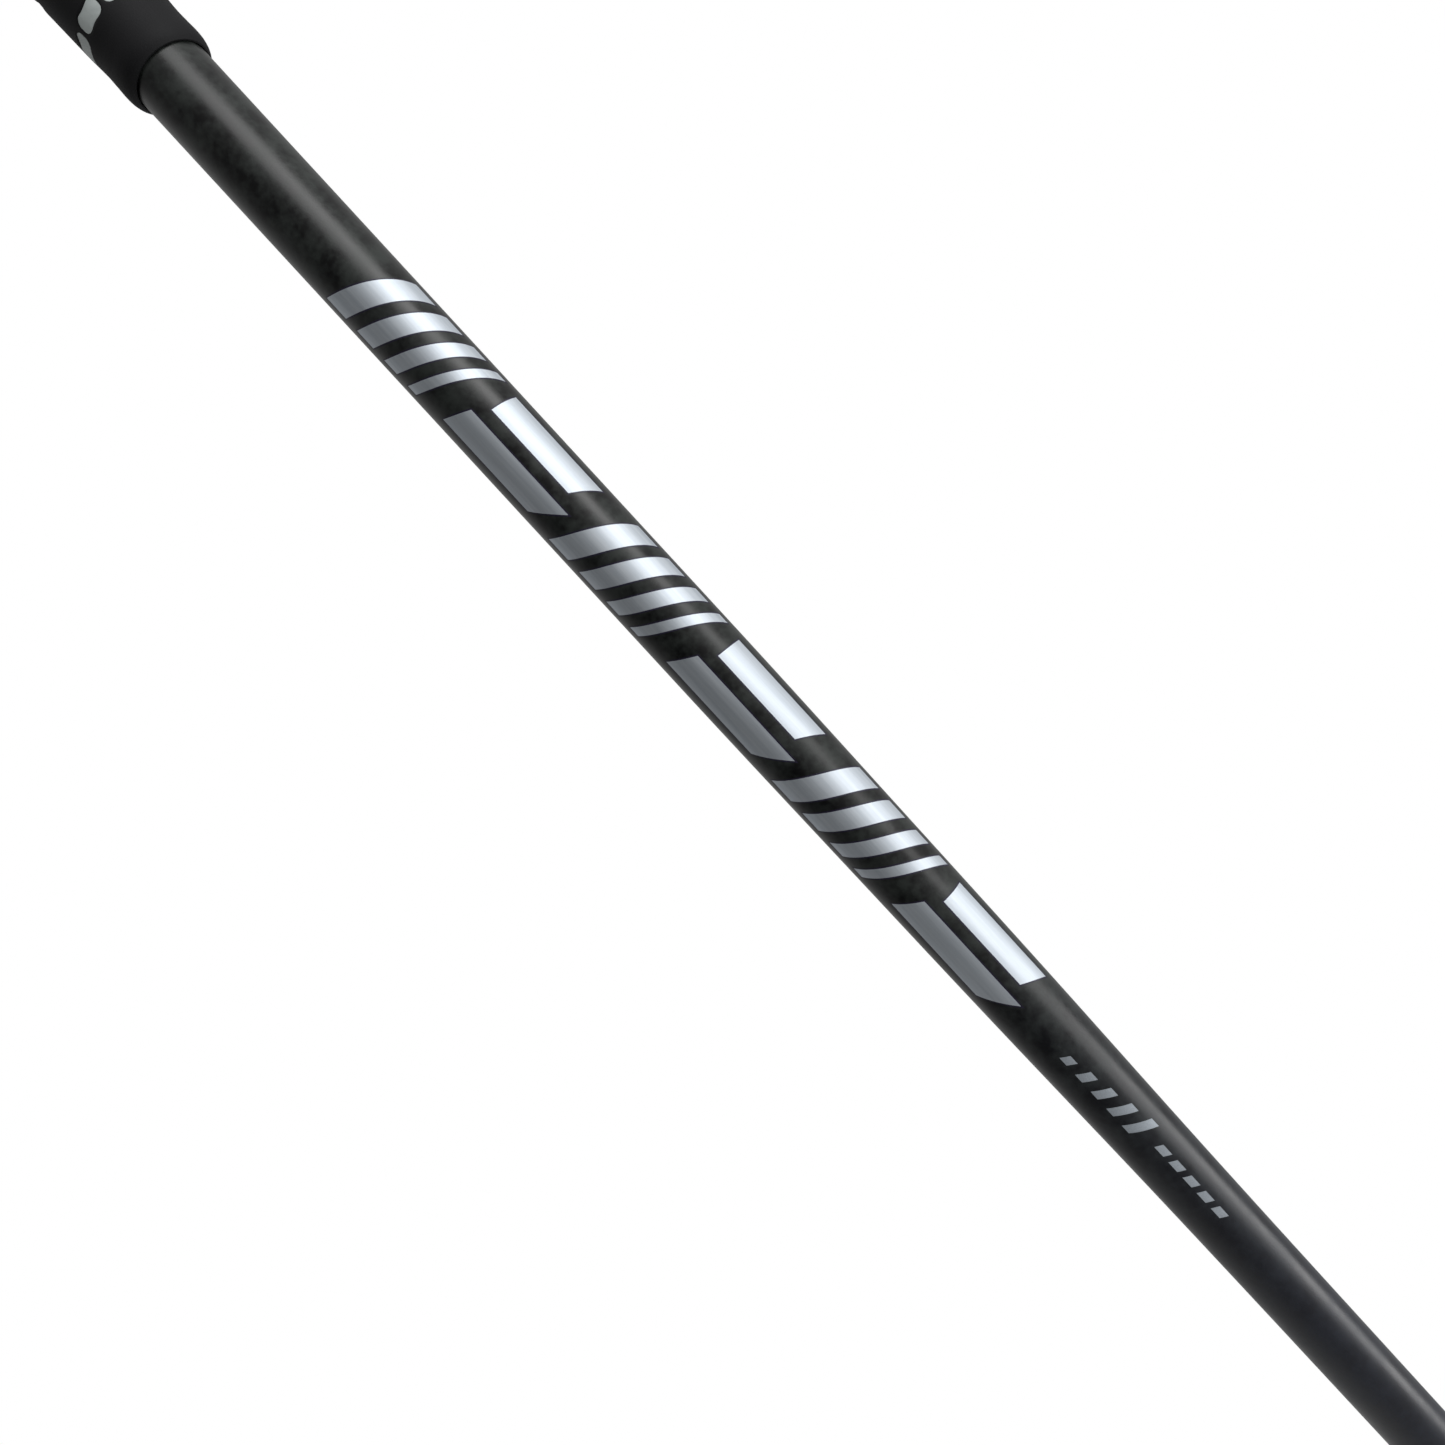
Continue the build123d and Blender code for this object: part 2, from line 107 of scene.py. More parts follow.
def turned_piece(name, section, finish, around=160, relief=None):
    """A ring turned about the club's line from a closed section of (radius, height)."""
    vertices, faces = [], []
    for radius, level in section:
        for step in range(around):
            angle = 2 * math.pi * step / around
            r = radius + (relief(angle, level) if relief else 0)
            vertices.append((r * math.sin(angle), -r * math.cos(angle), level))
    for ring in range(len(section)):
        low, high = ring * around, (ring + 1) % len(section) * around
        for step in range(around):
            beside = (step + 1) % around
            faces.append((low + step, low + beside, high + beside, high + step))
    return solid_piece(name, vertices, faces, finish)


def linear(colour):
    parts = [int(colour[i : i + 2], 16) / 255 for i in (1, 3, 5)]
    return [p / 12.92 if p <= 0.04045 else ((p + 0.055) / 1.055) ** 2.4 for p in parts] + [1.0]


def add_node(tree, kind, inputs, **settings):
    """One node. An input is a value, or the node or socket that feeds it."""
    node = tree.nodes.new(kind)
    for name, value in settings.items():
        setattr(node, name, value)
    for name, value in inputs.items():
        if isinstance(value, bpy.types.Node):
            value = value.outputs[0]
        if isinstance(value, bpy.types.NodeSocket):
            tree.links.new(value, node.inputs[name])
        else:
            node.inputs[name].default_value = value
    return node


def start_finish(name):
    """A new material, and places on it in millimetres of the piece it is on."""
    finish = bpy.data.materials.new(name)
    finish.use_nodes = True
    tree = finish.node_tree
    tree.nodes.clear()
    on_piece = add_node(tree, "ShaderNodeTexCoord", {}).outputs["Object"]
    spots = add_node(tree, "ShaderNodeVectorMath", {0: on_piece, "Scale": 1 / MM}, operation="SCALE")
    return finish, tree, spots


def end_finish(tree, **surface):
    shader = add_node(
        tree, "ShaderNodeBsdfPrincipled", {n.replace("_", " "): v for n, v in surface.items()}
    )
    add_node(tree, "ShaderNodeOutputMaterial", {"Surface": shader})


shaft_outline = outline_of("shaft")
grip_outline = outline_of("grip_sleeve")
grip_mouth = grip_outline[0][0]

# Lacquer over smoke paint: soft clouds about 7 mm across with 1.5 mm specks in them, and a satin shine. The
# clouds clear between two heights, and the spray dried with an orange peel about 0.5 mm wide.
smoke, tree, spots = start_finish("smoked_satin_lacquer")
clouds = add_node(
    tree, "ShaderNodeTexNoise", {"Vector": spots, "Scale": 1 / 6.5, "Detail": 5.0, "Roughness": 0.6}
)
specks = add_node(tree, "ShaderNodeTexNoise", {"Vector": spots, "Scale": 1 / 1.3, "Detail": 2.0})
smoky = add_node(tree, "ShaderNodeMix", {0: 0.3, 2: clouds, 3: specks})
smoky = add_node(tree, "ShaderNodeMapRange", {"Value": smoky, "From Min": 0.4, "From Max": 0.6})
cloudy = add_node(
    tree, "ShaderNodeMix", {0: smoky, 6: linear("#040405"), 7: linear("#292d2b")}, data_type="RGBA"
)
clear = add_node(
    tree, "ShaderNodeMix", {0: smoky, 6: linear("#0a0d18"), 7: linear("#111622")}, data_type="RGBA"
)
clear_below = grip_mouth / MM - 310
cloudy_above = grip_mouth / MM - 215
level = add_node(tree, "ShaderNodeSeparateXYZ", {0: spots}).outputs["Z"]
clearing = add_node(
    tree, "ShaderNodeMapRange", {"Value": level, "From Min": clear_below, "From Max": cloudy_above}
)
paint = add_node(
    tree, "ShaderNodeMix", {0: clearing, 6: clear.outputs[2], 7: cloudy.outputs[2]}, data_type="RGBA"
)
sheen = add_node(tree, "ShaderNodeMapRange", {"Value": smoky, "To Min": 0.3, "To Max": 0.38})
peel = add_node(tree, "ShaderNodeTexNoise", {"Vector": spots, "Scale": 1 / 0.5, "Detail": 2.0})
orange_peel = add_node(tree, "ShaderNodeBump", {"Height": peel, "Distance": 0.004 * MM, "Strength": 0.5})
end_finish(tree, Base_Color=paint.outputs[2], Roughness=sheen, Normal=orange_peel)

shaft_step = 2.5 * MM
wall_share = 0.62
shaft_levels = levels_between(shaft_outline[0][0], shaft_outline[-1][0], shaft_step)
shaft_section = [(radius_at(shaft_outline, level), level) for level in shaft_levels]
shaft_section += [(wall_share * radius, level) for radius, level in (shaft_section[-1], shaft_section[0])]
shaft = turned_piece("shaft_tube", shaft_section, smoke)
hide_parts("shaft")
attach(shaft, "club_shaft")

# ---- Shaft graphic ----
# Hot-stamped satin silver foil: four slanted stripes that grow thinner and two long bars, three times over.
# It wraps a third of the way round the shaft, and a hair-wide key line of dark violet ink frames each shape.

# The foil is rolled: streaks 0.6 mm wide run along the shaft, and it spreads a soft silver glow.
foil, tree, spots = start_finish("satin_silver_foil")
drawn = add_node(tree, "ShaderNodeMapping", {"Vector": spots, "Scale": (1.6, 1.6, 0.05)})
streaks = add_node(tree, "ShaderNodeTexNoise", {"Vector": drawn, "Scale": 1.0, "Detail": 3.0})
silver = add_node(
    tree, "ShaderNodeMix", {0: streaks, 6: linear("#c2cbd4"), 7: linear("#e3e8ed")}, data_type="RGBA"
)
satin = add_node(tree, "ShaderNodeMapRange", {"Value": streaks, "To Min": 0.55, "To Max": 0.62})
scuff = add_node(tree, "ShaderNodeBump", {"Height": streaks, "Distance": 0.003 * MM, "Strength": 0.3})
end_finish(tree, Metallic=1.0, Base_Color=silver.outputs[2], Roughness=satin, Normal=scuff)

# Screen ink that looks black until light falls across it, mottled about every 1.2 mm.
key_ink, tree, spots = start_finish("violet_key_ink")
flow = add_node(tree, "ShaderNodeTexNoise", {"Vector": spots, "Scale": 1 / 1.2})
violet = add_node(
    tree, "ShaderNodeMix", {0: flow, 6: linear("#120e20"), 7: linear("#231c38")}, data_type="RGBA"
)
matt = add_node(tree, "ShaderNodeMapRange", {"Value": flow, "To Min": 0.4, "To Max": 0.55})
end_finish(tree, Base_Color=violet.outputs[2], Roughness=matt)

graphic_start = grip_mouth - 55.8 * MM
graphic_wrap = math.radians(64)
slant = 0.55
mark_lift = 0.03 * MM
key_width = 0.28 * MM
patch_step_along = 1.5 * MM
patch_step_across = 0.5 * MM


def laid_patch(corners, start, outline, lift):
    """A four-cornered patch of (run towards the tip, rise round the piece), laid on it and thickened."""
    first, second, third, fourth = [Vector(corner) for corner in corners]
    along = max(2, round((second - first).length / patch_step_along))
    across = max(2, round((fourth - first).length / patch_step_across))
    vertices, faces = [], []
    for i in range(along + 1):
        for j in range(across + 1):
            near = first.lerp(second, i / along)
            far = fourth.lerp(third, i / along)
            point = near.lerp(far, j / across)
            radius = radius_at(outline, start - point.x)
            angle = point.y / radius
            for r in (radius, radius + lift):
                vertices.append((r * math.sin(angle), -r * math.cos(angle), start - point.x))
    row = (across + 1) * 2
    last = along * row
    for i in range(along):
        for j in range(across):
            k = i * row + j * 2
            faces.append((k + 1, k + row + 1, k + row + 3, k + 3))
            faces.append((k, k + 2, k + row + 2, k + row))
        k = i * row
        faces.append((k, k + row, k + row + 1, k + 1))
        k += across * 2
        faces.append((k, k + 1, k + row + 1, k + row))
    for j in range(0, across * 2, 2):
        faces.append((j, j + 1, j + 3, j + 2))
        faces.append((last + j, last + j + 2, last + j + 3, last + j + 1))
    return vertices, faces


def stroke(left, right, low, high, reach, left_cut=0.0, right_cut=0.0):
    """A slanted stroke between two shares of the wrap. A cut draws one end in along its lower edge."""
    low, high = low * reach, high * reach
    return [
        (left + left_cut + slant * low, low),
        (right + right_cut + slant * low, low),
        (right + slant * high, high),
        (left + slant * high, high),
    ]


def widened(corners, margin):
    """The same patch with its four edges moved out."""
    points = [Vector(corner) for corner in corners]
    edges = []
    for a, b in zip(points, points[1:] + points[:1]):
        along = (b - a).normalized()
        edges.append((a + Vector((along.y, -along.x)) * margin, along))
    moved = []
    for (p, d), (q, e) in zip(edges[-1:] + edges[:-1], edges):
        run = ((q.x - p.x) * e.y - (q.y - p.y) * e.x) / (d.x * e.y - d.y * e.x)
        moved.append(p + d * run)
    return moved


def laid_piece(name, patches, start, lift, finish, outline=shaft_outline):
    """Patches joined into one piece that moves with the shaft."""
    vertices, faces = [], []
    for corners in patches:
        more, sides = laid_patch(corners, start, outline, lift)
        faces += [tuple(index + len(vertices) for index in side) for side in sides]
        vertices += more
    piece = solid_piece(name, vertices, faces, finish)
    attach(piece, "club_shaft")


# One run: left and right end in millimetres, the rows it spans, and how far its two ends are drawn in.
run_length = 60.2
run_count = 3
graphic_run = (
    (0.0, 5.2, -1.0, 1.0, 0.0, 0.0),
    (8.2, 12.6, -1.0, 1.0, 0.0, 0.0),
    (15.6, 19.0, -1.0, 1.0, 0.0, 0.0),
    (22.0, 24.2, -1.0, 1.0, 0.0, 0.0),
    (28.6, 52.0, 0.16, 0.86, 3.0, 0.0),
    (30.6, 56.4, -0.86, -0.16, 0.0, -3.0),
)
graphic = []
for repeat in range(run_count):
    for left, right, low, high, left_cut, right_cut in graphic_run:
        left, right = (repeat * run_length + left) * MM, (repeat * run_length + right) * MM
        reach = graphic_wrap * radius_at(shaft_outline, graphic_start - (left + right) / 2)
        graphic.append(stroke(left, right, low, high, reach, left_cut * MM, right_cut * MM))
keyed = [widened(corners, key_width) for corners in graphic]
laid_piece("graphic_key_lines", keyed, graphic_start, mark_lift / 2, key_ink)
laid_piece("graphic_foil", graphic, graphic_start, mark_lift, foil)

# ---- Small shaft marks ----
# Pad-printed silver ink near the foil's end. Five slanted bars of rising height stand for the flex, and
# a row of short dashes follows them.

# The ink's metal flakes give it a grey sparkle. They are drawn 0.2 mm wide, coarser than real, to show.
ink, tree, spots = start_finish("silver_pad_ink")
flakes = add_node(tree, "ShaderNodeTexNoise", {"Vector": spots, "Scale": 1 / 0.2, "Detail": 2.0})
grey = add_node(
    tree, "ShaderNodeMix", {0: flakes, 6: linear("#8b939b"), 7: linear("#b3bac1")}, data_type="RGBA"
)
satin = add_node(tree, "ShaderNodeMapRange", {"Value": flakes, "To Min": 0.42, "To Max": 0.55})
end_finish(tree, Metallic=0.3, Base_Color=grey.outputs[2], Roughness=satin)

flex_start = grip_mouth - 245 * MM
flex_reach = 2.5 * MM
flex_pitch = 4.2 * MM
flex_width = 1.9 * MM
flex_heights = (-0.3, 0.0, 0.3, 0.65, 1.0)
flex_bars = [
    stroke(i * flex_pitch, i * flex_pitch + flex_width, -1, high, flex_reach)
    for i, high in enumerate(flex_heights)
]
laid_piece("flex_bars", flex_bars, flex_start, mark_lift, ink)

dash_start = grip_mouth - 267.5 * MM
dash_reach = 0.75 * MM
dash_pitch = 3.8 * MM
dash_length = 2.4 * MM
dash_count = 5
dashes = [stroke(i * dash_pitch, i * dash_pitch + dash_length, -1, 1, dash_reach) for i in range(dash_count)]
laid_piece("dash_row", dashes, dash_start, mark_lift, ink)

# ---- Grip sleeve ----
# Compression-moulded rubber, stippled by its sand-blasted mould, pulled over tape on the butt of the shaft.
# Rings of rounded slots are moulded in, turned by half a slot from one ring to the next.

# The mould's blasted steel leaves a 0.3 mm stipple, so the rubber is matt and nearly black.
rubber, tree, spots = start_finish("moulded_grip_rubber")
stipple = add_node(
    tree, "ShaderNodeTexNoise", {"Vector": spots, "Scale": 1 / 0.3, "Detail": 3.0, "Roughness": 0.65}
)
bloom = add_node(tree, "ShaderNodeTexNoise", {"Vector": spots, "Scale": 1 / 9.0, "Detail": 2.0})
worn = add_node(tree, "ShaderNodeMix", {0: 0.35, 2: stipple, 3: bloom})
black = add_node(
    tree, "ShaderNodeMix", {0: worn, 6: linear("#070709"), 7: linear("#131417")}, data_type="RGBA"
)
matt = add_node(tree, "ShaderNodeMapRange", {"Value": worn, "To Min": 0.62, "To Max": 0.8})
pores = add_node(tree, "ShaderNodeBump", {"Height": stipple, "Distance": 0.05 * MM, "Strength": 0.8})
end_finish(tree, Base_Color=black.outputs[2], Roughness=matt, Normal=pores, Specular_IOR_Level=0.3)

slot_length = 6.3 * MM
slot_width = 3.7 * MM
slot_corner = 1.45 * MM
slot_depth = 0.35 * MM
slot_slope = 0.4 * MM
slots_around = 8
slot_turn = 2 * math.pi / slots_around
first_slot_angle = math.radians(-26.5)
painted_ring = grip_mouth + 12.8 * MM
first_plain_ring = grip_mouth + 27 * MM
ring_pitch = 8.5 * MM
plain_end = 10 * MM
grip_top = grip_outline[-1][0]
plain_rings = int((grip_top - first_plain_ring - plain_end) / ring_pitch)


def slot_relief(angle, level):
    """How far the rubber is moulded in at one spot, with a short slope round each slot."""
    number = min(plain_rings - 1, max(0, round((level - first_plain_ring) / ring_pitch)))
    ring_level = first_plain_ring + number * ring_pitch
    stagger = 0.5 if number % 2 == 0 else 0.0
    if level < (painted_ring + first_plain_ring) / 2:
        ring_level, stagger = painted_ring, 0.0
    place = (angle - first_slot_angle) / slot_turn - stagger
    aside = abs(place - round(place)) * slot_turn * radius_at(grip_outline, level)
    beyond_side = max(0.0, aside - slot_length / 2 + slot_corner)
    beyond_top = max(0.0, abs(level - ring_level) - slot_width / 2 + slot_corner)
    inside = slot_corner - math.hypot(beyond_side, beyond_top)
    if not grip_mouth < level < grip_top:
        return 0.0
    return -slot_depth * min(1.0, max(0.0, inside / slot_slope))


tape_low, tape_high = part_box("grip_tape")
tape_radius = (tape_high.y - tape_low.y) / 2
painted_length = 18 * MM
painted_step = 0.33 * MM
plain_step = 0.75 * MM
grip_levels = levels_between(grip_mouth, grip_mouth + painted_length, painted_step)
grip_levels += levels_between(grip_mouth + painted_length, grip_top, plain_step)[1:]
grip_section = [(radius_at(grip_outline, level), level) for level in grip_levels]
grip_section += [(tape_radius, grip_top), (tape_radius, grip_mouth)]
grip = turned_piece("grip_rubber_sleeve", grip_section, rubber, around=208, relief=slot_relief)
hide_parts("grip_sleeve")
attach(grip, "club_shaft")

# ---- Paint in the grip's slots ----
# Silver-grey rubber paint, wiped by hand into the ring of slots next to the mouth. It stands a hair under
# the rubber round it.

# It dries with a faint eggshell surface, paler in pools about 1.4 mm wide.
paint_fill, tree, spots = start_finish("silver_grip_paint")
pool = add_node(tree, "ShaderNodeTexNoise", {"Vector": spots, "Scale": 1 / 1.4, "Detail": 3.0})
pale = add_node(
    tree, "ShaderNodeMix", {0: pool, 6: linear("#a9b1b0"), 7: linear("#c9d0ce")}, data_type="RGBA"
)
eggshell = add_node(tree, "ShaderNodeMapRange", {"Value": pool, "To Min": 0.4, "To Max": 0.55})
end_finish(tree, Base_Color=pale.outputs[2], Roughness=eggshell)

paint_inset = 0.15 * MM
paint_depth = 0.08 * MM
paint_foot = slot_depth + 0.05 * MM
corner_points = 10
rim = []
for quarter, (side, end) in enumerate(((1, 1), (-1, 1), (-1, -1), (1, -1))):
    for i in range(corner_points):
        turn = math.pi / 2 * (quarter + i / (corner_points - 1))
        run = side * (slot_length / 2 - slot_corner) + (slot_corner - paint_inset) * math.cos(turn)
        rise = end * (slot_width / 2 - slot_corner) + (slot_corner - paint_inset) * math.sin(turn)
        rim.append((run, rise))
paint_rings = ((1.0, paint_foot), (1.0, paint_depth), (0.7, paint_depth), (0.35, paint_depth))
count = len(rim)
vertices, faces = [], []
for number in range(slots_around):
    start = len(vertices)
    for share, depth in paint_rings:
        for run, rise in rim:
            level = painted_ring + rise * share
            radius = radius_at(grip_outline, level)
            angle = first_slot_angle + number * slot_turn + run * share / radius
            r = radius - depth
            vertices.append((r * math.sin(angle), -r * math.cos(angle), level))
    for ring in range(len(paint_rings) - 1):
        low, high = start + ring * count, start + (ring + 1) * count
        for i in range(count):
            beside = (i + 1) % count
            faces.append((low + i, low + beside, high + beside, high + i))
    faces.append(tuple(range(len(vertices) - count, len(vertices))))
slot_paint = solid_piece("grip_slot_paint", vertices, faces, paint_fill)
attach(slot_paint, "club_shaft")

# ---- Grip cap and tape ----
# The cap is the same rubber, moulded in one shot with the sleeve, with its vent hole in the middle. The tape
# under the grip is tan crepe paper with glue on both faces, wound in a screw with fine creases.


def dress(node, finish):
    for slot in frame["nodes"][node].material_slots:
        slot.link = "OBJECT"
        slot.material = finish


dress("grip_cap", rubber)

# Crepe creases, 0.4 mm apart, run in a shallow screw and make the paper matt.
tape, tree, spots = start_finish("tan_crepe_tape")
tape_turn = (0, math.radians(32), 0)
creased = add_node(
    tree, "ShaderNodeMapping", {"Vector": spots, "Rotation": tape_turn, "Scale": (0.4, 0.4, 2.5)}
)
creases = add_node(tree, "ShaderNodeTexNoise", {"Vector": creased, "Scale": 1.0, "Detail": 4.0})
tan = add_node(
    tree, "ShaderNodeMix", {0: creases, 6: linear("#a58c5c"), 7: linear("#cdb98a")}, data_type="RGBA"
)
crepe = add_node(tree, "ShaderNodeBump", {"Height": creases, "Distance": 0.05 * MM, "Strength": 0.7})
end_finish(tree, Base_Color=tan.outputs[2], Roughness=0.85, Normal=crepe)
dress("grip_tape", tape)

# ---- Ferrule and tip plug ----
# The ferrule is turned from a black cellulose rod, with two fine grooves near its foot, and buffed with
# acetone until it shines. The plug that stops glue in the shaft's tip is moulded of the same plastic.

# The acetone leaves a deep wet gloss, with a haze in it about 4 mm wide.
cellulose, tree, spots = start_finish("buffed_black_cellulose")
haze = add_node(tree, "ShaderNodeTexNoise", {"Vector": spots, "Scale": 1 / 4.0, "Detail": 4.0})
black = add_node(
    tree, "ShaderNodeMix", {0: haze, 6: linear("#050506"), 7: linear("#0e0e10")}, data_type="RGBA"
)
gloss = add_node(tree, "ShaderNodeMapRange", {"Value": haze, "To Min": 0.1, "To Max": 0.2})
buffing = add_node(tree, "ShaderNodeBump", {"Height": haze, "Distance": 0.01 * MM, "Strength": 0.4})
end_finish(tree, Base_Color=black.outputs[2], Roughness=gloss, Normal=buffing)

ferrule_outline = outline_of("ferrule")
ferrule_low, ferrule_high = ferrule_outline[0][0], ferrule_outline[-1][0]
groove_levels = (ferrule_low + 3.0 * MM, ferrule_low + 4.6 * MM)
groove_half = 0.35 * MM
groove_depth = 0.18 * MM
ferrule_step = 0.12 * MM
glue_gap = 0.02 * MM


def ferrule_relief(level):
    """How far the two grooves are cut in at one height."""
    dips = [max(0.0, 1 - abs(level - groove) / groove_half) for groove in groove_levels]
    return -groove_depth * math.sqrt(max(dips))


ferrule_section = [
    (radius_at(ferrule_outline, level) + ferrule_relief(level), level)
    for level in levels_between(ferrule_low, ferrule_high, ferrule_step)
]
ferrule_section += [
    (radius_at(shaft_outline, level) + glue_gap, level) for level in (ferrule_high, ferrule_low)
]
ferrule = turned_piece("ferrule_turned", ferrule_section, cellulose, around=96)
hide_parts("ferrule")
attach(ferrule, "club_shaft")
dress("shaft_tip_plug", cellulose)

# ---- Trim ring and hosel sleeve ----
# The ring is bright-turned aluminium. The sleeve below it is turned aluminium too, blasted and anodised
# black. Its collar carries eight pad-printed tick marks, which show how far it is turned in the hosel.

# The lathe's feed leaves lines 0.125 mm apart, which stretch each reflection along the ring.
bright, tree, spots = start_finish("bright_turned_aluminium")
lathe = add_node(tree, "ShaderNodeMapping", {"Vector": spots, "Scale": (0.1, 0.1, 8.0)})
feed = add_node(tree, "ShaderNodeTexNoise", {"Vector": lathe, "Scale": 1.0, "Detail": 2.0})
silver = add_node(
    tree, "ShaderNodeMix", {0: feed, 6: linear("#b9bdc2"), 7: linear("#dcdfe2")}, data_type="RGBA"
)
shine = add_node(tree, "ShaderNodeMapRange", {"Value": feed, "To Min": 0.14, "To Max": 0.26})
lines = add_node(tree, "ShaderNodeBump", {"Height": feed, "Distance": 0.006 * MM, "Strength": 0.5})
end_finish(tree, Metallic=1.0, Base_Color=silver.outputs[2], Roughness=shine, Normal=lines)
dress("ferrule_trim_ring", bright)

# The blast under the dye leaves a 0.18 mm grain, so the black is satin.
anodised, tree, spots = start_finish("black_anodised_aluminium")
blast = add_node(tree, "ShaderNodeTexNoise", {"Vector": spots, "Scale": 1 / 0.18, "Detail": 2.0})
black = add_node(
    tree, "ShaderNodeMix", {0: blast, 6: linear("#17181b"), 7: linear("#26282c")}, data_type="RGBA"
)
satin = add_node(tree, "ShaderNodeMapRange", {"Value": blast, "To Min": 0.32, "To Max": 0.44})
frost = add_node(tree, "ShaderNodeBump", {"Height": blast, "Distance": 0.012 * MM, "Strength": 0.6})
end_finish(tree, Metallic=0.85, Base_Color=black.outputs[2], Roughness=satin, Normal=frost)
dress("hosel_sleeve", anodised)

sleeve_outline = outline_of("hosel_sleeve")
sleeve_top = sleeve_outline[-1][0]
collar_radius = radius_at(sleeve_outline, sleeve_top - 4 * MM)
tick_count = 8
tick_gap = 2 * MM
tick_lengths = (5 * MM, 3 * MM)
tick_half = 0.3 * MM
ticks = []
for i in range(tick_count):
    rise = collar_radius * 2 * math.pi * i / tick_count
    low, high = rise - tick_half, rise + tick_half
    end = tick_gap + tick_lengths[i % 2]
    ticks.append([(tick_gap, low), (end, low), (end, high), (tick_gap, high)])
laid_piece("sleeve_tick_marks", ticks, sleeve_top, mark_lift, ink, sleeve_outline)

# ---- Head chassis ----
# Cast titanium in one piece with its hosel, ledges and keel. It is bead-blasted all over and then coated
# dark grey in a vacuum.

# The blast gives an even frost. Its grain is drawn 0.35 mm wide, coarser than real, to show. The coating is
# a shade lighter in patches about 14 mm wide, where handling has rubbed it.
blasted, tree, spots = start_finish("dark_coated_titanium")
beads = add_node(tree, "ShaderNodeTexNoise", {"Vector": spots, "Scale": 1 / 0.35, "Detail": 2.0})
rubbed = add_node(tree, "ShaderNodeTexNoise", {"Vector": spots, "Scale": 1 / 14.0, "Detail": 4.0})
worn = add_node(tree, "ShaderNodeMix", {0: 0.5, 2: beads, 3: rubbed})
dark = add_node(
    tree, "ShaderNodeMix", {0: worn, 6: linear("#26282c"), 7: linear("#43464b")}, data_type="RGBA"
)
frost = add_node(tree, "ShaderNodeMapRange", {"Value": worn, "To Min": 0.34, "To Max": 0.5})
grain = add_node(tree, "ShaderNodeBump", {"Height": beads, "Distance": 0.02 * MM, "Strength": 0.6})
end_finish(tree, Metallic=1.0, Base_Color=dark.outputs[2], Roughness=frost, Normal=grain)
dress("head_chassis", blasted)

# ---- Face plate ----
# Rolled titanium sheet, stamped to its bulge and welded into the chassis. The score lines are milled in,
# and the face is brushed from heel to toe.

# Brushing lines run along the face and smear its shine. They are drawn 0.33 mm apart, coarser than real.
brushed, tree, spots = start_finish("brushed_titanium")
drawn = add_node(tree, "ShaderNodeMapping", {"Vector": spots, "Scale": (0.05, 3.0, 3.0)})
hairs = add_node(
    tree, "ShaderNodeTexNoise", {"Vector": drawn, "Scale": 1.0, "Detail": 3.0, "Roughness": 0.6}
)
steel = add_node(
    tree, "ShaderNodeMix", {0: hairs, 6: linear("#6d6e71"), 7: linear("#97989b")}, data_type="RGBA"
)
shine = add_node(tree, "ShaderNodeMapRange", {"Value": hairs, "To Min": 0.26, "To Max": 0.42})
lines = add_node(tree, "ShaderNodeBump", {"Height": hairs, "Distance": 0.012 * MM, "Strength": 0.6})
end_finish(tree, Metallic=1.0, Base_Color=steel.outputs[2], Roughness=shine, Normal=lines)
dress("face_plate", brushed)

# ---- Crown and sole panels ----
# Moulded carbon fibre in two-by-two twill, glued onto ledges of the chassis. The yarns are 2 mm wide and
# lie at 45 degrees to the face. The crown has a clear gloss coat, and the sole panels a satin one.


